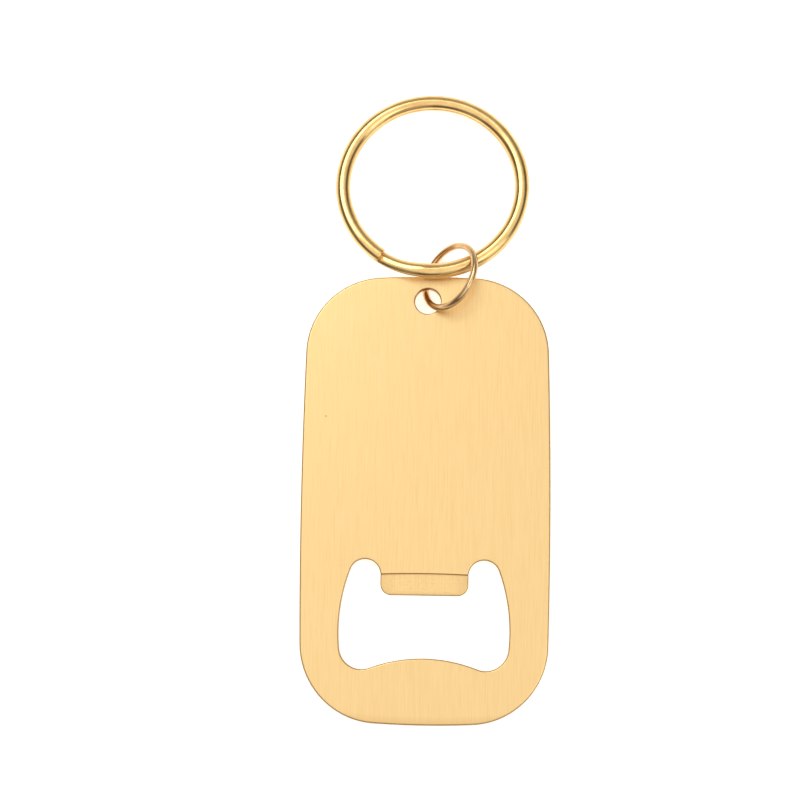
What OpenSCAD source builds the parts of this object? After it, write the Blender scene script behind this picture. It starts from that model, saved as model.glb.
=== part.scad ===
// Keychain bottle opener: a flat stamped plate with a cap mouth at one end,
// a small jump ring through the hole at the other, and a two-turn split ring on that.
// Lies on its back: +X across the plate, +Y towards the rings, +Z out of the front face.
// Origin: middle of the plate's back face. Units: mm.

/* [Plate] */
// Width across the middle of the sides
plate_w = 40; // [34:1:50]
// Length over the middle of the ends
plate_h = 72; // [62:1:90]
// Sheet thickness
plate_t = 1.6; // [1.2:0.1:2]
// Corner radius
corner_r = 12.6; // [8:0.2:15]
// How far each end bows outwards
end_crown = 1.4; // [0.6:0.1:2.4]
// How far each long side bows outwards
side_crown = 0.7; // [0.3:0.1:1.4]

/* [Ring hole] */
// Hole diameter
hole_d = 4.2; // [3.6:0.1:5.2]
// Metal left between the hole and the end of the plate
web = 2.0; // [1.6:0.1:3]
// Countersink on both rims of the hole
hole_break = 0.2; // [0.1:0.05:0.3]

/* [Cap mouth] */
// Widest opening of the mouth
mouth_w = 27.1; // [23:0.1:29]
// Metal left below the mouth, from its lowest points to the end of the plate
mouth_margin = 8.6; // [6:0.1:12]
// Height of the mouth from its lowest points to the tops of the ears
mouth_h = 17.35; // [15:0.05:21]
// Radius of the bowed sides of the mouth
flank_r = 28; // [24:1:40]
// Radius of the two lower corners of the mouth
heel_r = 3.6; // [2.6:0.1:4.2]
// Radius of the round ears beside the lip
ear_r = 2.5; // [2:0.1:3]
// How far the bottom edge rises in the middle
lobe_rise = 1.8; // [1:0.1:2.2]

/* [Lip] */
// How far the lip reaches down from the tops of the ears
lip_reach = 5.65; // [4.6:0.05:6.8]
// Corner radius at the free end of the lip
lip_corner_r = 1.7; // [1:0.1:2.4]
// How far the lip's front is pressed back from the plate's front
lip_drop = 0.5; // [0.3:0.1:0.7]
// Distance from the tops of the ears to the pressed line
crease_below_ears = 2.3; // [1.8:0.1:3]
// Upward bow of the pressed line
crease_bow = 0.15; // [0.1:0.05:0.3]

/* [Jump ring] */
// Outside diameter
jump_od = 12; // [11.4:0.1:14]
// Wire diameter
jump_wire = 1.1; // [0.9:0.05:1.2]
// Opening left between the butted ends, in degrees of arc
butt_gap = 1.6; // [0.8:0.2:4]

/* [Split ring] */
// Outside diameter
split_od = 31.7; // [26:0.1:38]
// Width of the half-round wire, across the ring
split_wire_w = 2.3; // [2:0.1:2.4]
// Thickness of one turn
turn_t = 1.1; // [0.9:0.05:1.15]
// Gap between the two turns
turn_gap = 0.1; // [0.05:0.05:0.15]
// Arc over which the wire climbs from the back turn to the front turn
ramp_arc = 26; // [24:1:36]
// Gap between the front turn's end and the shoulder of the climb, in degrees of arc
end_gap = 1.2; // [0.6:0.2:3]

/* [Hidden] */
eps = 0.01;
through = 2;

half_w = plate_w / 2;
half_h = plate_h / 2;
end_r = (half_w * half_w + end_crown * end_crown) / (2 * end_crown);
side_r = (half_h * half_h + side_crown * side_crown) / (2 * side_crown);
end_cy = half_h - end_r;
side_cx = half_w - side_r;
hole_y = half_h - web - hole_d / 2;

// Where two circles about p and q with radii a and b cross, on the left going from p to q
function crossing(p, a, q, b) =
    let (v = q - p, d = norm(v), u = v / d,
         along = (a * a - b * b + d * d) / (2 * d),
         side = sqrt(a * a - along * along))
    p + along * u + side * [-u[1], u[0]];

// Corner circle sits inside the end arc and the side arc, touching both
corner_c = crossing([side_cx, 0], side_r - corner_r, [0, end_cy], end_r - corner_r);
to_end = (corner_c - [0, end_cy]) / norm(corner_c - [0, end_cy]);
to_side = (corner_c - [side_cx, 0]) / norm(corner_c - [side_cx, 0]);
end_meet_x = corner_c[0] + corner_r * to_end[0];
side_meet_y = corner_c[1] + corner_r * to_side[1];

// Mouth: flank arcs, with heels and ears touching them from inside
mouth_low = -half_h + mouth_margin;
ear_top = mouth_low + mouth_h;
heel_cy = mouth_low + heel_r;
ear_cy = ear_top - ear_r;
flank_cy = (heel_cy * 7 + ear_cy * 2) / 9;
flank_cx = mouth_w / 2 - flank_r;
heel_cx = flank_cx + sqrt(pow(flank_r - heel_r, 2) - pow(heel_cy - flank_cy, 2));
ear_cx = flank_cx + sqrt(pow(flank_r - ear_r, 2) - pow(ear_cy - flank_cy, 2));
heel_meet_y = flank_cy + (heel_cy - flank_cy) * flank_r / (flank_r - heel_r);
ear_meet_y = flank_cy + (ear_cy - flank_cy) * flank_r / (flank_r - ear_r);
lobe_top = mouth_low + lobe_rise;
lobe_k = heel_cy - lobe_top;
lobe_r = (heel_cx * heel_cx + lobe_k * lobe_k - heel_r * heel_r) / (2 * (heel_r - lobe_k));

// Lip: hangs between the ears, as wide as the ears leave it
lip_half = ear_cx - ear_r;
lip_end = ear_top - lip_reach;
crease_y = ear_top - crease_below_ears;
crease_r = (lip_half * lip_half + crease_bow * crease_bow) / (2 * crease_bow);

// Jump ring: its wire crosses the hole at mid thickness; the ring leans off to the right,
// its right side above the plate and its left side below
jump_r = (jump_od - jump_wire) / 2;
jump_azimuth = 51;
jump_lift = 18.9;
jump_roll = -43.4;
jump_seat = [0.28, hole_y - 0.1, plate_t / 2 - 0.05];
butt_at = 125;
jump_dir = [cos(jump_lift) * cos(jump_azimuth), cos(jump_lift) * sin(jump_azimuth), sin(jump_lift)];
jump_c = jump_seat + jump_r * jump_dir;

// Split ring: rests over the plate's end, its wire threading the jump ring
split_h = 2 * turn_t + turn_gap;
split_r = (split_od - split_wire_w) / 2;
turn_pitch = turn_t + turn_gap;
rest_gap = 0.41;
split_azimuth = 98.6;
tip_back = 5.7;
tip_right = 0.5;
split_up = [cos(tip_back) * sin(tip_right), sin(tip_back), cos(tip_back) * cos(tip_right)];
split_seat = [jump_c[0] - 0.83, jump_c[1] + 0.89, plate_t + rest_gap + split_h / 2];
split_fall = -(split_up[0] * cos(split_azimuth) + split_up[1] * sin(split_azimuth)) / split_up[2];
split_dir = [cos(split_azimuth), sin(split_azimuth), split_fall];
split_c = split_seat + split_r * split_dir / norm(split_dir);
ramp_from = 238;
shoulder = 2;
dome_r = split_wire_w * 0.565;
ramp_tilt = atan(turn_pitch / (2 * split_r * sin(ramp_arc / 2)));

fine = 360;
coarse = 64;

// ---------- building blocks ----------

// Round cutter that flares open towards both faces
module flare(r, n = coarse) {
    c = hole_break + through;
    translate([0, 0, -through])
        rotate_extrude($fn = n)
            polygon([[0, 0], [r + c, 0], [r, c], [r, plate_t + 2 * through - c],
                     [r + c, plate_t + 2 * through], [0, plate_t + 2 * through]]);
}

module both_sides() {
    children();
    mirror([1, 0, 0]) children();
}

// Rectangle between two corners
module box2(x0, y0, x1, y1) {
    translate([x0, y0]) square([x1 - x0, y1 - y0]);
}

// ---------- plate ----------

module all_corners() {
    both_sides() {
        children();
        mirror([0, 1, 0]) children();
    }
}

// Slice of the corner's disc between the points where it meets the end and the side
module corner_slice() {
    reach = corner_r * 1.6;
    intersection() {
        translate(corner_c) circle(corner_r, $fn = fine);
        translate(corner_c)
            polygon([[0, 0], reach * to_side, reach * (to_side + to_end), reach * to_end]);
    }
}

// Outline of the plate: a strip between the bowed ends, a strip between the bowed sides
// and four round corners
module blank() {
    intersection() {
        translate([0, end_cy]) circle(end_r, $fn = 2 * fine);
        translate([0, -end_cy]) circle(end_r, $fn = 2 * fine);
        box2(-end_meet_x, -plate_h, end_meet_x, plate_h);
    }
    intersection() {
        translate([side_cx, 0]) circle(side_r, $fn = 4 * fine);
        translate([-side_cx, 0]) circle(side_r, $fn = 4 * fine);
        box2(-plate_w, -side_meet_y, plate_w, side_meet_y);
    }
    all_corners() corner_slice();
}

// Outline of the mouth
module mouth() {
    difference() {
        union() {
            // space between the bowed flanks
            intersection() {
                translate([flank_cx, flank_cy]) circle(flank_r, $fn = fine);
                translate([-flank_cx, flank_cy]) circle(flank_r, $fn = fine);
                union() {
                    box2(-mouth_w, heel_meet_y, mouth_w, ear_cy);
                    both_sides() box2(ear_cx, ear_cy - 1, mouth_w, ear_meet_y);
                }
            }
            both_sides() {
                translate([heel_cx, heel_cy]) circle(heel_r, $fn = coarse);
                translate([ear_cx, ear_cy]) circle(ear_r, $fn = coarse);
            }
            box2(-heel_cx, mouth_low, heel_cx, heel_cy);
        }
        translate([0, lobe_top - lobe_r]) circle(lobe_r, $fn = fine);
        lip();
    }
}

// Outline of the lip
module lip() {
    r = lip_corner_r;
    box2(-lip_half, lip_end + r, lip_half, ear_top);
    box2(-lip_half + r, lip_end, lip_half - r, lip_end + r + eps);
    both_sides() translate([lip_half - r, lip_end + r]) circle(r, $fn = coarse);
}

// What pressing takes off the front of the lip
module coined_step() {
    span = lip_half + 0.3;
    translate([0, 0, plate_t - lip_drop]) linear_extrude(lip_drop + 1) intersection() {
        box2(-span, lip_end - 1, span, crease_y + crease_bow + eps);
        translate([0, crease_y + crease_bow - crease_r]) circle(crease_r, $fn = 4 * fine);
    }
}

module opener_plate() {
    color([0.93, 0.78, 0.48]) difference() {
        linear_extrude(plate_t) difference() {
            blank();
            mouth();
        }
        coined_step();
        translate([0, hole_y, 0]) flare(hole_d / 2);
    }
}

// ---------- rings ----------

// Round wire bent to a circle, its butted ends a hair apart
module jump_ring() {
    color([0.80, 0.62, 0.36])
        translate(jump_c) rotate([jump_roll, -jump_lift, jump_azimuth])
            rotate_extrude(angle = 360 - butt_gap, start = butt_at, $fn = 96)
                translate([jump_r, 0]) circle(d = jump_wire, $fn = 24);
}

// Section of one turn: domed outwards, flat towards the other turn
module wire_section() {
    intersection() {
        translate([0, turn_t / 2 - dome_r]) circle(dome_r, $fn = 72);
        square([split_wire_w, turn_t], center = true);
    }
}

// Section of the climb, domed on both faces
module climb_section() {
    intersection() {
        translate([0, turn_t / 2 - dome_r]) circle(dome_r, $fn = 72);
        translate([0, dome_r - turn_t / 2]) circle(dome_r, $fn = 72);
    }
}

module arc_of_wire(from, sweep) {
    rotate([0, 0, from])
        rotate_extrude(angle = sweep, $fn = 180) translate([split_r, 0]) children();
}

module split_ring() {
    turn = 360 - ramp_arc - end_gap;
    ramp_to = ramp_from + ramp_arc;
    color([0.90, 0.74, 0.42])
        translate(split_c) rotate([-tip_back, tip_right, 0]) {
            // back turn, its free end under the top of the climb
            translate([0, 0, -turn_pitch / 2])
                arc_of_wire(ramp_to + end_gap, turn) mirror([0, 1]) wire_section();
            // the climb: a short arc of the same wire, tipped about its own middle
            rotate([0, 0, ramp_from + ramp_arc / 2]) rotate([ramp_tilt, 0, 0])
                arc_of_wire(-ramp_arc / 2 - shoulder, ramp_arc + 2 * shoulder) climb_section();
            // front turn, its free end just short of the climb's shoulder
            translate([0, 0, turn_pitch / 2])
                arc_of_wire(ramp_to, turn - shoulder) wire_section();
        }
}

opener_plate();
jump_ring();
split_ring();
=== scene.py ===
import math
import bmesh
import bpy
from mathutils import Matrix, Vector
from mathutils.geometry import delaunay_2d_cdt


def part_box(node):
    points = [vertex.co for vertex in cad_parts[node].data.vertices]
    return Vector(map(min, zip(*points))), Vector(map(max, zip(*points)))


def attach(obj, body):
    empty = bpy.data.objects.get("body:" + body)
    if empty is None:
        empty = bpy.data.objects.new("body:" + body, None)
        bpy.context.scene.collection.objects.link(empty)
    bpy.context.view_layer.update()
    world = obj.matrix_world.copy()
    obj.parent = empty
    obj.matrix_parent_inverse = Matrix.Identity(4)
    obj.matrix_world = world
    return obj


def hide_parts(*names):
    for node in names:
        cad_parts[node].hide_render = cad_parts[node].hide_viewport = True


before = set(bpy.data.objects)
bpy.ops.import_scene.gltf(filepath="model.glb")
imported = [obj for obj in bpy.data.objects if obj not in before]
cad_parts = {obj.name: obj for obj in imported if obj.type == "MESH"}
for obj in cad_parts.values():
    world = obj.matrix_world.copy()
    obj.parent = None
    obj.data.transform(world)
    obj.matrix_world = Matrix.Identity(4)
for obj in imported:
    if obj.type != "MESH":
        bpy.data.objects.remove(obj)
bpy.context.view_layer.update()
MM = 0.001
scene = bpy.context.scene
scene.view_settings.view_transform = "Standard"
scene.view_settings.look = "None"

# ---------------------------------------------------------------- camera
# Looks straight down at the opener from 260 mm, a little from the mouth's end
PITCH, YAW, ROLL = math.radians(-8.14), math.radians(-2.10), math.radians(-0.58)
SHIFT = Vector((4.12, -15.70, 0.0))
DIST = 260.0
turn = Matrix.Rotation(ROLL, 3, "Z") @ Matrix.Rotation(YAW, 3, "Y") @ Matrix.Rotation(PITCH, 3, "X")
cam_data = bpy.data.cameras.new("camera")
cam_data.sensor_width = 36.0
cam_data.lens = 36.0 * 6.2121 * DIST / 800.0
cam_data.clip_start = 0.01
cam_data.clip_end = 20.0
cam = bpy.data.objects.new("camera", cam_data)
scene.collection.objects.link(cam)
back = turn.transposed()
cam.matrix_world = Matrix.Translation(back @ (Vector((0, 0, DIST)) - SHIFT) * MM) @ back.to_4x4()
scene.camera = cam

# ---------------------------------------------------------------- sizes, mm, as in the CAD
PLATE_W, PLATE_H, PLATE_T, CORNER_R = 40.0, 72.0, 1.6, 12.6
END_CROWN, SIDE_CROWN = 1.4, 0.7
HOLE_D, WEB = 4.2, 2.0
MOUTH_W, MOUTH_MARGIN, MOUTH_H = 27.1, 8.6, 17.35
FLANK_R, HEEL_R, EAR_R, LOBE_RISE = 28.0, 3.6, 2.5, 1.8
LIP_REACH, LIP_CORNER_R, LIP_DROP, CREASE_BELOW, CREASE_BOW = 5.65, 1.7, 0.5, 2.3, 0.15
JUMP_OD, JUMP_WIRE, BUTT_AT, BUTT_GAP = 12.0, 1.1, 125.0, 1.6
JUMP_AZIMUTH, JUMP_LIFT, JUMP_ROLL = 51.0, 18.9, -43.4
SPLIT_OD, SPLIT_W, TURN_T, TURN_GAP = 31.7, 2.3, 1.1, 0.1
RAMP_FROM, RAMP_ARC, END_GAP = 238.0, 26.0, 1.2
SPLIT_AZIMUTH, TIP_BACK, TIP_RIGHT, REST_GAP = 98.6, 5.7, 0.5, 0.41
SPLIT_SHIFT = Vector((-0.83, 0.89))
JUMP_LOW_Y = 37.1  # where the jump ring is lowest
DOME_R = SPLIT_W * 0.565
# mesh density: steps round a rim, cuts along a crease row and a wire, and the rows, mm above the crease
RIM_STEPS, CREASE_CUTS = 7, 46
JUMP_CUTS, SPLIT_CUTS, WIRE_SIDES = 220, 560, 28
CUT_ROOM = 0.5  # degrees left for the soft rim of a cut end
CREASE_ROWS = [0.5, 0.3, 0.18] + [0.12 - 0.02 * k for k in range(14)] + [-0.22, -0.35, -0.6]

HW, HH = PLATE_W / 2, PLATE_H / 2
END_R = (HW * HW + END_CROWN ** 2) / (2 * END_CROWN)
SIDE_R = (HH * HH + SIDE_CROWN ** 2) / (2 * SIDE_CROWN)
END_CY, SIDE_CX = HH - END_R, HW - SIDE_R
HOLE_Y = HH - WEB - HOLE_D / 2
JUMP_SEAT = Vector((0.28, HOLE_Y - 0.1, PLATE_T / 2 - 0.05))


def crossing(p, a, q, b):
    """Where circles of radius a about p and b about q cross, on the left of the line from p to q."""
    v = q - p
    d = v.length
    u = v / d
    along = (a * a - b * b + d * d) / (2 * d)
    side = math.sqrt(a * a - along * along)
    return p + along * u + side * Vector((-u.y, u.x))


CORNER = crossing(Vector((SIDE_CX, 0)), SIDE_R - CORNER_R, Vector((0, END_CY)), END_R - CORNER_R)
MOUTH_LOW = -HH + MOUTH_MARGIN
EAR_TOP = MOUTH_LOW + MOUTH_H
HEEL_CY, EAR_CY = MOUTH_LOW + HEEL_R, EAR_TOP - EAR_R
FLANK_CY = (HEEL_CY * 7 + EAR_CY * 2) / 9
FLANK_CX = MOUTH_W / 2 - FLANK_R
HEEL_CX = FLANK_CX + math.sqrt((FLANK_R - HEEL_R) ** 2 - (HEEL_CY - FLANK_CY) ** 2)
EAR_CX = FLANK_CX + math.sqrt((FLANK_R - EAR_R) ** 2 - (EAR_CY - FLANK_CY) ** 2)
LOBE_TOP = MOUTH_LOW + LOBE_RISE
LOBE_K = HEEL_CY - LOBE_TOP
LOBE_R = (HEEL_CX ** 2 + LOBE_K ** 2 - HEEL_R ** 2) / (2 * (HEEL_R - LOBE_K))
LIP_HALF, LIP_END = EAR_CX - EAR_R, EAR_TOP - LIP_REACH
CREASE_Y = EAR_TOP - CREASE_BELOW
CREASE_R = (LIP_HALF ** 2 + CREASE_BOW ** 2) / (2 * CREASE_BOW)


# ---------------------------------------------------------------- contours
def arc(c, r, a0, a1, step=0.3):
    """Points on an arc from a0 to a1 degrees, the last left out, each with the direction away from c."""
    n = max(2, int(math.ceil(abs(math.radians(a1 - a0)) * r / step)))
    out = []
    for i in range(n):
        a = math.radians(a0 + (a1 - a0) * i / n)
        d = Vector((math.cos(a), math.sin(a)))
        out.append((Vector(c) + r * d, d))
    return out


def line(p, q, normal, step):
    """Points on a line from p to q, the last left out, each with the direction out of the metal."""
    p, q = Vector(p), Vector(q)
    n = max(1, int(math.ceil((q - p).length / step)))
    return [(p + (q - p) * i / n, Vector(normal)) for i in range(n)]


def angle(v):
    return math.degrees(math.atan2(v[1], v[0]))


def outline():
    """Outer contour, anticlockwise, normals pointing out of the metal."""
    to_end = angle(CORNER - Vector((0, END_CY)))
    to_side = angle(CORNER - Vector((SIDE_CX, 0)))
    right = arc((SIDE_CX, 0), SIDE_R, -to_side, to_side, 0.8) + arc(CORNER, CORNER_R, to_side, to_end, 0.35)
    top = arc((0, END_CY), END_R, to_end, 180 - to_end, 0.8)
    left = arc((-CORNER.x, CORNER.y), CORNER_R, 180 - to_end, 180 - to_side, 0.35)
    upper = right + top + left
    lower = [(-p, -d) for p, d in upper]
    return upper + lower


def mouth_contour():
    """Mouth contour, normals pointing into the opening, so out of the metal."""
    to_heel = angle((HEEL_CX - FLANK_CX, HEEL_CY - FLANK_CY))
    to_ear = angle((EAR_CX - FLANK_CX, EAR_CY - FLANK_CY))
    lobe_end = angle((HEEL_CX, HEEL_CY - (LOBE_TOP - LOBE_R)))
    pts = arc((0, LOBE_TOP - LOBE_R), LOBE_R, 90, lobe_end, 0.3)
    inward = lambda part: [(p, -d) for p, d in part]
    pts += inward(arc((HEEL_CX, HEEL_CY), HEEL_R, lobe_end - 180, to_heel, 0.2))
    pts += inward(arc((FLANK_CX, FLANK_CY), FLANK_R, to_heel, to_ear, 0.3))
    pts += inward(arc((EAR_CX, EAR_CY), EAR_R, to_ear, 180, 0.06))
    pts += line((LIP_HALF, EAR_CY), (LIP_HALF, LIP_END + LIP_CORNER_R), (1, 0), 0.08)
    pts += arc((LIP_HALF - LIP_CORNER_R, LIP_END + LIP_CORNER_R), LIP_CORNER_R, 0, -90, 0.12)
    pts += line((LIP_HALF - LIP_CORNER_R, LIP_END), (0, LIP_END), (0, -1), 0.3)
    mirrored = [(Vector((-p.x, p.y)), Vector((-d.x, d.y))) for p, d in reversed(pts[1:])]
    return pts + [(Vector((0, LIP_END)), Vector((0, -1)))] + mirrored


def hole_contour():
    """Ring hole's contour, normals pointing into the hole."""
    return [(p, -d) for p, d in arc((0, HOLE_Y), HOLE_D / 2, 360, 0, 0.1)]


def smooth(t):
    """Eased step from 0 to 1."""
    t = min(1.0, max(0.0, t))
    return t * t * (3 - 2 * t)


def crease_at(x):
    """The crease's y at this x: a shallow arc across the lip."""
    return CREASE_Y + CREASE_BOW - (CREASE_R - math.sqrt(max(0.0, CREASE_R ** 2 - x * x)))


def pressed(x, y):
    """How far, 0 to 1, the lip's front is pressed down at this point."""
    if abs(x) > LIP_HALF + 0.35 or y < LIP_END - 0.5 or y > CREASE_Y + 1:
        return 0.0
    if abs(x) > LIP_HALF + 0.12 and y > LIP_END + 3.2:
        return 0.0
    return smooth((crease_at(x) + 0.04 - y) / 0.16)


# ---------------------------------------------------------------- meshes
def new_mesh(name, verts, faces, body, node, material):
    """A smooth-shaded piece from points in mm, riding on a body in place of a CAD node."""
    me = bpy.data.meshes.new(name)
    me.from_pydata([[c * MM for c in v] for v in verts], [], faces)
    me.validate()
    bm = bmesh.new()
    bm.from_mesh(me)
    bmesh.ops.recalc_face_normals(bm, faces=bm.faces)
    bm.to_mesh(me)
    bm.free()
    me.polygons.foreach_set("use_smooth", [True] * len(me.polygons))
    me.materials.append(material)
    ob = bpy.data.objects.new(name, me)
    scene.collection.objects.link(ob)
    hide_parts(node)
    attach(ob, body)
    return ob


def rounded_rim(contour, r, verts, faces):
    """Wall under a contour, rounded by r at the front and back rims. Gives its first and last loop."""
    loops = []
    for top in (True, False):
        for k in range(RIM_STEPS + 1):
            a = math.pi / 2 * k / RIM_STEPS
            if top:
                inset, z = r * (1 - math.sin(a)), PLATE_T - r * (1 - math.cos(a))
            else:
                inset, z = r * (1 - math.cos(a)), r * (1 - math.sin(a))
            loops.append(list(range(len(verts), len(verts) + len(contour))))
            verts += [(*(p - d * inset), z) for p, d in contour]
    n = len(contour)
    for a, b in zip(loops, loops[1:]):
        for i in range(n):
            j = (i + 1) % n
            faces.append((a[i], a[j], b[j], b[i]))
    return loops[0], loops[-1]


def crease_rows():
    """Rows of points along the crease, close together where the front bends down."""
    rows = []
    for dy in CREASE_ROWS:
        half = LIP_HALF - 0.3 - (0.03 if dy > 0.1 else 0.0)
        xs = [-half + 2 * half * i / CREASE_CUTS for i in range(CREASE_CUTS + 1)]
        rows.append([Vector((x, crease_at(x) + dy)) for x in xs])
    return rows


def inside(p, poly):
    hit = False
    for a, b in zip(poly, poly[1:] + poly[:1]):
        if (a.y > p.y) != (b.y > p.y) and p.x < (b.x - a.x) * (p.y - a.y) / (b.y - a.y) + a.x:
            hit = not hit
    return hit


def flat_face(loops, rows, z, verts, faces):
    """Flat face at height z, within the first loop and outside the others, with rows of points on it."""
    pts, ids, edges = [], [], []
    for loop in loops:
        s = len(pts)
        pts += [Vector(verts[v][:2]) for v in loop]
        ids += loop
        edges += [(s + i, s + (i + 1) % len(loop)) for i in range(len(loop))]
    for row in rows:
        s = len(pts)
        pts += row
        ids += [None] * len(row)
        edges += [(s + i, s + i + 1) for i in range(len(row) - 1)]
    found, _, cells, origins, _, _ = delaunay_2d_cdt(pts, edges, [], 0, 1e-6)
    ref = []
    for v, sources in zip(found, origins):
        known = [ids[k] for k in sources if ids[k] is not None]
        if known:
            ref.append(known[0])
        else:
            ref.append(len(verts))
            verts.append((v.x, v.y, z))
    outer, *openings = [[Vector(verts[i][:2]) for i in loop] for loop in loops]
    for cell in cells:
        c = sum((found[i] for i in cell), Vector((0, 0))) / len(cell)
        if inside(c, outer) and not any(inside(c, poly) for poly in openings):
            faces.append([ref[i] for i in cell])


def plate_mesh():
    """Flat faces between three contours whose rims are rounded; the lip's front is pressed down."""
    verts, faces = [], []
    rims = [(outline(), 0.34), (mouth_contour(), 0.26), (hole_contour(), 0.24)]
    ends = [rounded_rim(contour, r, verts, faces) for contour, r in rims]
    flat_face([top for top, _ in ends], crease_rows(), PLATE_T, verts, faces)
    flat_face([bottom for _, bottom in ends], [], 0.0, verts, faces)
    return [(x, y, z * (1 - pressed(x, y) * LIP_DROP / PLATE_T)) for x, y, z in verts], faces


# ---------------------------------------------------------------- materials
class Graph:
    """Short names for building a node tree."""

    def __init__(self, name):
        self.mat = bpy.data.materials.new(name)
        self.mat.use_nodes = True
        self.nt = self.mat.node_tree
        self.bsdf = next(n for n in self.nt.nodes if n.type == "BSDF_PRINCIPLED")

    def node(self, kind, **settings):
        n = self.nt.nodes.new(kind)
        for k, v in settings.items():
            setattr(n, k, v)
        return n

    def link(self, a, b):
        self.nt.links.new(a, b)

    def stretched(self, scale):
        """Object coordinates scaled differently along each axis."""
        co = self.node("ShaderNodeTexCoord")
        m = self.node("ShaderNodeMapping")
        m.inputs["Scale"].default_value = scale
        self.link(co.outputs["Object"], m.inputs["Vector"])
        return m.outputs["Vector"]

    def noise(self, vector, scale, detail=3.0, rough=0.55):
        n = self.node("ShaderNodeTexNoise")
        n.inputs["Scale"].default_value = scale
        n.inputs["Detail"].default_value = detail
        n.inputs["Roughness"].default_value = rough
        self.link(vector, n.inputs["Vector"])
        return n.outputs["Fac"]

    def ramp(self, fac, stops):
        r = self.node("ShaderNodeValToRGB")
        e = r.color_ramp.elements
        while len(e) < len(stops):
            e.new(0.5)
        for el, (pos, col) in zip(e, stops):
            el.position = pos
            el.color = (*col, 1.0)
        self.link(fac, r.inputs["Fac"])
        return r.outputs["Color"]

    def span(self, fac, lo, hi, a, b):
        """Map fac from lo..hi to a..b, held at both ends."""
        m = self.node("ShaderNodeMapRange")
        for k, v in (("From Min", lo), ("From Max", hi), ("To Min", a), ("To Max", b)):
            m.inputs[k].default_value = v
        self.link(fac, m.inputs["Value"])
        return m.outputs["Result"]

    def math(self, op, a, b=None):
        m = self.node("ShaderNodeMath", operation=op)
        for i, v in enumerate((a, b)):
            if v is None:
                continue
            if isinstance(v, (int, float)):
                m.inputs[i].default_value = v
            else:
                self.link(v, m.inputs[i])
        return m.outputs[0]

    def mix(self, fac, below, colour):
        """The output below, changed to a colour by the output fac."""
        m = self.node("ShaderNodeMix", data_type="RGBA")
        self.link(fac, m.inputs[0])
        self.link(below, m.inputs[6])
        m.inputs[7].default_value = (*colour, 1.0)
        return m.outputs[2]

    def bump(self, height, distance, strength, normal=None):
        b = self.node("ShaderNodeBump")
        b.inputs["Strength"].default_value = strength
        b.inputs["Distance"].default_value = distance
        self.link(height, b.inputs["Height"])
        if normal is not None:
            self.link(normal, b.inputs["Normal"])
        return b.outputs["Normal"]


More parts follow.
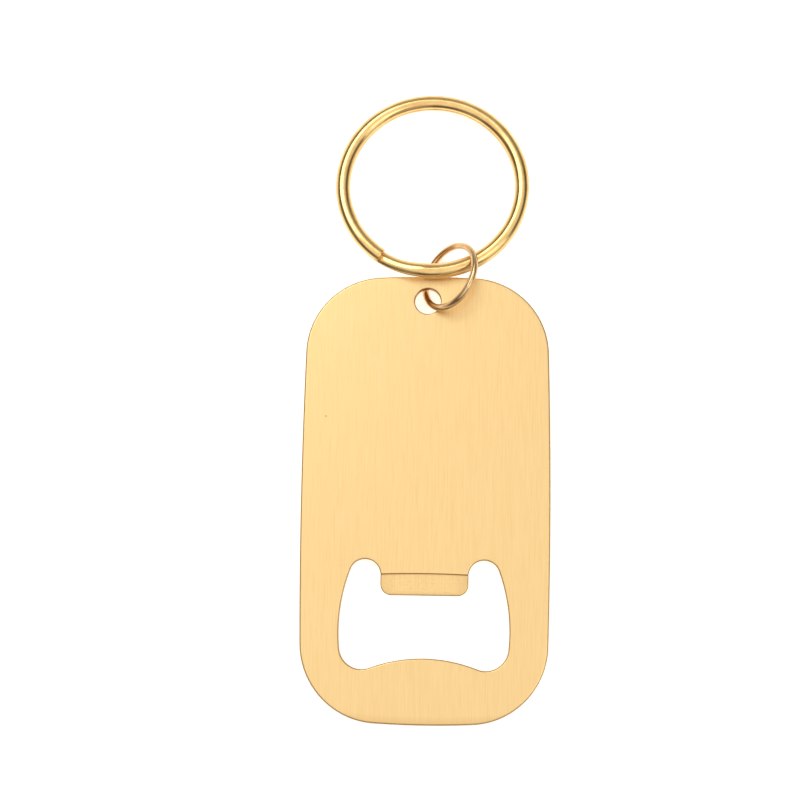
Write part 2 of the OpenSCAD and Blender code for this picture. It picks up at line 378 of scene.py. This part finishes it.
def brushed_gold():
    """Gold-tone plating over a sheet that was brushed along its length."""
    g = Graph("gold_brushed")
    hair = g.noise(g.stretched((1.0, 0.022, 1.0)), 9000, 2.0, 0.6)       # fine lines along the plate
    streak = g.noise(g.stretched((1.0, 0.05, 1.0)), 2600, 3.0, 0.6)      # broader, softer lines
    cloud = g.noise(g.stretched((1.0, 0.6, 1.0)), 70, 3.0, 0.5)          # slow unevenness
    grain = g.noise(g.stretched((1.0, 1.0, 1.0)), 14000, 2.0, 0.5)       # sandy tooth
    # where the metal was pressed: the lip's front
    co = g.node("ShaderNodeTexCoord")
    sep = g.node("ShaderNodeSeparateXYZ")
    g.link(co.outputs["Object"], sep.inputs[0])
    lip = g.math("MULTIPLY", g.math("LESS_THAN", g.math("ABSOLUTE", sep.outputs["X"]), (LIP_HALF + 0.2) * MM),
                 g.math("MULTIPLY", g.math("LESS_THAN", sep.outputs["Y"], CREASE_Y * MM),
                        g.math("GREATER_THAN", sep.outputs["Y"], (LIP_END - 1) * MM)))
    lines = g.math("ADD", g.math("ADD", g.math("MULTIPLY", hair, 0.62), g.math("MULTIPLY", streak, 0.22)),
                   g.math("MULTIPLY", grain, 0.16))
    base = g.ramp(lines, [(0.30, (0.865, 0.592, 0.262)), (0.5, (0.925, 0.652, 0.302)),
                          (0.72, (0.965, 0.70, 0.345))])
    base = g.mix(g.span(cloud, 0.3, 0.7, 0.0, 0.10), base, (0.98, 0.66, 0.27))
    # the coined lip: sandy, darker towards its sides and free edge
    sand = g.noise(g.stretched((1.0, 1.0, 1.0)), 3600, 3.0, 0.65)
    side = g.math("MAXIMUM", g.span(g.math("ABSOLUTE", sep.outputs["X"]), 4.6 * MM, 7.0 * MM, 0.0, 1.0),
                  g.span(sep.outputs["Y"], (LIP_END + 0.8) * MM, LIP_END * MM, 0.0, 1.0))
    base = g.mix(g.math("MULTIPLY", lip, g.math("MULTIPLY", side, 0.42)), base, (0.72, 0.47, 0.20))
    base = g.mix(g.math("MULTIPLY", lip, g.span(sand, 0.54, 0.68, 0.0, 0.34)), base, (0.60, 0.37, 0.15))
    # painted shade along the rounded rim at the mouth's end of the plate, darker there
    far = g.node("ShaderNodeVectorMath", operation="DISTANCE")
    far.inputs[1].default_value = (0.0, -END_CY * MM, PLATE_T * MM)
    g.link(co.outputs["Object"], far.inputs[0])
    rim = g.span(far.outputs["Value"], (END_R - 1.5) * MM, (END_R - 0.25) * MM, 0.0, 0.42)
    base = g.mix(rim, base, (0.70, 0.43, 0.17))
    # a few tiny specks
    sp = g.node("ShaderNodeTexVoronoi")
    sp.inputs["Scale"].default_value = 160
    g.link(g.stretched((1.0, 0.8, 1.0)), sp.inputs["Vector"])
    pick = g.math("GREATER_THAN", g.noise(g.stretched((1, 1, 1)), 55, 0.0), 0.60)
    speck = g.math("MULTIPLY", g.math("LESS_THAN", sp.outputs["Distance"], 0.022), pick)
    base = g.mix(g.math("MULTIPLY", speck, 0.7), base, (0.45, 0.27, 0.10))
    # painted shade on the blanked edge, the walls and rims that turn away from straight up: darker than the
    # brushed faces
    nsep = g.node("ShaderNodeSeparateXYZ")
    g.link(co.outputs["Normal"], nsep.inputs[0])
    edge = g.span(g.math("ABSOLUTE", nsep.outputs["Z"]), 0.97, 0.72, 0.0, 1.0)
    edge = g.math("MULTIPLY", edge, g.span(grain, 0.35, 0.65, 0.75, 1.0))
    base = g.mix(edge, base, (0.40, 0.235, 0.09))
    g.link(base, g.bsdf.inputs["Base Color"])
    g.bsdf.inputs["Metallic"].default_value = 1.0
    g.bsdf.inputs["Anisotropic"].default_value = 0.45
    tangent = g.node("ShaderNodeTangent", direction_type="RADIAL", axis="X")
    g.link(tangent.outputs[0], g.bsdf.inputs["Tangent"])
    rough = g.span(lines, 0.3, 0.7, 0.36, 0.27)
    rough = g.math("ADD", rough, g.math("MULTIPLY", lip, 0.08))
    g.link(rough, g.bsdf.inputs["Roughness"])
    n = g.bump(lines, 0.000006, 0.6)
    n = g.bump(g.math("MULTIPLY", grain, g.math("ADD", g.math("MULTIPLY", lip, 0.8), 0.2)), 0.000006, 0.6, n)
    g.link(n, g.bsdf.inputs["Normal"])
    return g.mat


def polished_gold(name, light, dark, rough):
    """Bright gold-tone plating of wire, between two colours where it is uneven."""
    g = Graph(name)
    film = g.noise(g.stretched((1, 1, 1)), 420, 3.0, 0.6)                # uneven plating
    fine = g.noise(g.stretched((1, 1, 1)), 5200, 3.0, 0.6)               # handling scratches
    base = g.ramp(film, [(0.32, dark), (0.62, light)])
    edge = g.node("ShaderNodeNewGeometry")
    rim_highlight = g.span(edge.outputs["Pointiness"], 0.505, 0.56, 0.0, 0.5)     # painted highlight, brighter on the convex rims
    base = g.mix(rim_highlight, base, tuple(min(1.0, c * 1.06) for c in light))
    g.link(base, g.bsdf.inputs["Base Color"])
    g.bsdf.inputs["Metallic"].default_value = 1.0
    g.link(g.span(fine, 0.35, 0.7, rough, rough + 0.10), g.bsdf.inputs["Roughness"])
    n = g.bump(fine, 0.000003, 0.5)
    n = g.bump(film, 0.00002, 0.35, n)
    g.link(n, g.bsdf.inputs["Normal"])
    return g.mat


GOLD_PLATE = brushed_gold()
GOLD_KEY = polished_gold("gold_polished_key", (0.93, 0.64, 0.27), (0.80, 0.50, 0.19), 0.12)
GOLD_JUMP = polished_gold("gold_polished_jump", (0.74, 0.51, 0.27), (0.58, 0.37, 0.17), 0.14)

verts, faces = plate_mesh()
plate = new_mesh("plate_body", verts, faces, "plate", "opener_plate", GOLD_PLATE)
plate.modifiers.new("weighted", "WEIGHTED_NORMAL").weight = 80


# ---------------------------------------------------------------- swept wires
def sweep(path, sections, name, body, node, material, end_round):
    """path: (centre, across, up) frames; sections: a closed loop of (across, up) offsets for each.
    Both ends are closed by a few shrinking loops so that the cut has a soft rim."""
    verts, faces = [], []
    n = len(sections[0])
    frames = []
    (c0, a0, u0), (c1, _, _) = path[0], path[1]
    t0 = (c0 - c1).normalized()
    (e0, ae, ue), (e1, _, _) = path[-1], path[-2]
    t1 = (e0 - e1).normalized()
    caps = [(0.72, end_round), (0.86, end_round * 0.86), (0.96, end_round * 0.4)]
    for k, out in caps:
        frames.append((c0 + t0 * out, a0, u0, k, sections[0]))
    frames += [(c, a, u, 1.0, sec) for (c, a, u), sec in zip(path, sections)]
    for k, out in reversed(caps):
        frames.append((e0 + t1 * out, ae, ue, k, sections[-1]))
    for c, a, u, k, sec in frames:
        verts += [tuple(c + a * sx * k + u * sz * k) for sx, sz in sec]
    for i in range(len(frames) - 1):
        for j in range(n):
            k = (j + 1) % n
            faces.append((i * n + j, i * n + k, (i + 1) * n + k, (i + 1) * n + j))
    faces.append(list(range(n)))
    s = (len(frames) - 1) * n
    faces.append([s + j for j in range(n)][::-1])
    return new_mesh(name, verts, faces, body, node, material)


def rot(axis, deg):
    """Rotation about an axis by degrees."""
    return Matrix.Rotation(math.radians(deg), 3, axis)


def jump_ring():
    """Round wire bent to a butted circle that passes the hole at JUMP_SEAT. Gives the circle's centre."""
    r = (JUMP_OD - JUMP_WIRE) / 2
    az, lift = math.radians(JUMP_AZIMUTH), math.radians(JUMP_LIFT)
    level = math.cos(lift)
    centre = JUMP_SEAT + r * Vector((level * math.cos(az), level * math.sin(az), math.sin(lift)))
    m = rot("Z", JUMP_AZIMUTH) @ rot("Y", -JUMP_LIFT) @ rot("X", JUMP_ROLL)
    up = m @ Vector((0, 0, 1))
    start, end = BUTT_AT + CUT_ROOM, BUTT_AT + 360 - BUTT_GAP - CUT_ROOM
    path = []
    for i in range(JUMP_CUTS + 1):
        a = math.radians(start + (end - start) * i / JUMP_CUTS)
        across = m @ Vector((math.cos(a), math.sin(a), 0))
        path.append((centre + across * r, across, up))
    w = JUMP_WIRE / 2
    sides = [2 * math.pi * k / WIRE_SIDES for k in range(WIRE_SIDES)]
    section = [(w * math.cos(a), w * math.sin(a)) for a in sides]
    sweep(path, [section] * len(path), "jump_wire", "jump_ring", "jump_ring", GOLD_JUMP, 0.05)
    return centre


def turn_section(lean):
    """Section of the half-round wire: lean 1 is domed in front and flat behind, -1 turned over, 0 a lens."""
    w, t, soft = SPLIT_W / 2, TURN_T / 2, 0.16

    def dome(half):
        top = math.asin(half / DOME_R)
        return [(DOME_R * math.sin(top * (1 - k / 8)), t - DOME_R + DOME_R * math.cos(top * (1 - k / 8)))
                for k in range(17)]

    bends = [math.radians(90 * k / 5) for k in range(5)]
    corner = [(w - soft + soft * math.cos(a), soft * math.sin(a) - soft) for a in bends]
    flat = [(x, t + z) for x, z in corner]
    flat += [((w - soft) * (1 - k / 3), t) for k in range(7)]
    flat += [(-x, t + z) for x, z in reversed(corner)]
    flip = lambda pts: [(x, -z) for x, z in reversed(pts)]
    low_edge = t - DOME_R + math.sqrt(DOME_R ** 2 - w * w)
    front = dome(w) + [(-w, (low_edge - t + soft) / 2)] + flip(flat) + [(w, (low_edge - t + soft) / 2)]
    rear = flat + [(-w, -(low_edge - t + soft) / 2)] + flip(dome(w)) + [(w, -(low_edge - t + soft) / 2)]
    rim = math.sqrt(DOME_R ** 2 - (DOME_R - t) ** 2)
    lens = dome(rim - 0.04) + [(-rim, 0.0)] + flip(dome(rim - 0.04)) + [(rim, 0.0)]
    target, k = (front, lean) if lean > 0 else (rear, -lean)
    return [(a[0] + (b[0] - a[0]) * k, a[1] + (b[1] - a[1]) * k) for a, b in zip(lens, target)]


def split_ring(jump_centre):
    """Half-round wire in two turns that lie together, with a climb from the back turn to the front one."""
    r = (SPLIT_OD - SPLIT_W) / 2
    pitch = TURN_T + TURN_GAP
    az, b, s = math.radians(SPLIT_AZIMUTH), math.radians(TIP_BACK), math.radians(TIP_RIGHT)
    up = Vector((math.cos(b) * math.sin(s), math.sin(b), math.cos(b) * math.cos(s)))
    seat = Vector((*(jump_centre.xy + SPLIT_SHIFT), PLATE_T + REST_GAP + TURN_T + TURN_GAP / 2))
    d = Vector((math.cos(az), math.sin(az), -(up.x * math.cos(az) + up.y * math.sin(az)) / up.z))
    centre = seat + r * d.normalized()
    m = rot("Y", TIP_RIGHT) @ rot("X", -TIP_BACK)
    start, end = RAMP_FROM + RAMP_ARC + END_GAP + 0.3, RAMP_FROM + 720 - END_GAP - 0.6
    climb = RAMP_FROM + 360
    path, sections = [], []
    for i in range(SPLIT_CUTS + 1):
        a = start + (end - start) * i / SPLIT_CUTS
        t = min(1.0, max(0.0, (a - climb) / RAMP_ARC))
        h = (t * 0.7 + smooth(t) * 0.3 - 0.5) * pitch
        across = Vector((math.cos(math.radians(a)), math.sin(math.radians(a)), 0))
        path.append((centre + m @ (across * r + Vector((0, 0, h))), m @ across, m @ Vector((0, 0, 1))))
        # domed behind on the back turn, on both sides where the climb starts, and in front after it
        sections.append(turn_section(smooth((a - climb + 40) / 34) - 1 + smooth((a - climb) / RAMP_ARC)))
    sweep(path, sections, "split_wire", "split_ring", "split_ring", GOLD_KEY, 0.06)


split_ring(jump_ring())

# ---------------------------------------------------------------- floor, light
# how bright the surroundings are against the height of the direction looked in, 0 to 1
WORLD_STOPS = [(0.0, 0.80), (0.16, 0.66), (0.28, 0.28), (0.42, 0.07),
               (0.54, 0.08), (0.70, 0.40), (0.84, 0.98), (1.0, 1.04)]


def pale_floor():
    """Floor that the mouth's end of the plate and the jump ring's lowest point both touch."""
    half = 1.6
    corners = [(-half, -half, 0), (half, -half, 0), (half, half, 0), (-half, half, 0)]
    me = bpy.data.meshes.new("floor")
    me.from_pydata(corners, [], [(0, 1, 2, 3)])
    ob = bpy.data.objects.new("floor", me)
    scene.collection.objects.link(ob)
    slope = math.atan2(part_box("jump_ring")[0].z, (HH + JUMP_LOW_Y) * MM)
    ob.matrix_world = Matrix.Translation((0, -HH * MM, -0.00002)) @ Matrix.Rotation(slope, 4, "X")
    g = Graph("floor_pale")
    cloud = g.noise(g.stretched((1, 1, 1)), 6, 2.0)
    g.link(g.ramp(cloud, [(0.3, (0.88, 0.88, 0.88)), (0.7, (0.90, 0.90, 0.90))]), g.bsdf.inputs["Base Color"])
    g.bsdf.inputs["Roughness"].default_value = 0.9
    g.bsdf.inputs["Emission Color"].default_value = (1, 1, 1, 1)
    g.bsdf.inputs["Emission Strength"].default_value = 0.6
    me.materials.append(g.mat)


def studio_world():
    """Soft boxes all round, as brightness by height: bright above, dark at the sides, pale below."""
    world = bpy.data.worlds.new("studio")
    scene.world = world
    world.use_nodes = True
    nt = world.node_tree
    co = nt.nodes.new("ShaderNodeTexCoord")
    sep = nt.nodes.new("ShaderNodeSeparateXYZ")
    nt.links.new(co.outputs["Generated"], sep.inputs[0])
    heights = nt.nodes.new("ShaderNodeValToRGB")
    nt.links.new(sep.outputs["Z"], heights.inputs["Fac"])
    elements = heights.color_ramp.elements
    while len(elements) < len(WORLD_STOPS):
        elements.new(0.5)
    for el, (pos, v) in zip(elements, WORLD_STOPS):
        el.position = pos
        el.color = (v, v * (0.90 + 0.085 * min(v, 1)), v * (0.82 + 0.15 * min(v, 1)), 1)
    # the dark band breaks up round the room, as past the edges of soft boxes
    patch = nt.nodes.new("ShaderNodeTexNoise")
    patch.inputs["Scale"].default_value = 1.6
    patch.inputs["Detail"].default_value = 1.0
    nt.links.new(co.outputs["Generated"], patch.inputs["Vector"])
    lift = nt.nodes.new("ShaderNodeMapRange")
    for k, v in (("From Min", 0.50), ("From Max", 0.68), ("To Min", 0.0), ("To Max", 0.45)):
        lift.inputs[k].default_value = v
    nt.links.new(patch.outputs["Fac"], lift.inputs["Value"])
    blend = nt.nodes.new("ShaderNodeMix")
    blend.data_type = "RGBA"
    nt.links.new(lift.outputs["Result"], blend.inputs[0])
    nt.links.new(heights.outputs["Color"], blend.inputs[6])
    blend.inputs[7].default_value = (0.95, 0.93, 0.92, 1)
    background = next(n for n in nt.nodes if n.type == "BACKGROUND")
    nt.links.new(blend.outputs[2], background.inputs["Color"])
    background.inputs["Strength"].default_value = 1.0


def soft_light(name, at, size, power, color):
    """Rectangular light at a place in metres, aimed at the object."""
    d = bpy.data.lights.new(name, "AREA")
    d.shape = "RECTANGLE"
    d.size, d.size_y = size
    d.energy = power
    d.color = color
    o = bpy.data.objects.new(name, d)
    scene.collection.objects.link(o)
    o.location = at
    o.rotation_euler = (Vector((0, 0.01, 0)) - Vector(at)).to_track_quat("-Z", "Y").to_euler()


pale_floor()
studio_world()
soft_light("key", (-0.38, 0.52, 0.85), (0.7, 0.5), 2.4, (1.0, 0.99, 0.97))
soft_light("fill", (0.6, -0.25, 0.7), (0.4, 0.8), 1.0, (1, 1, 1))
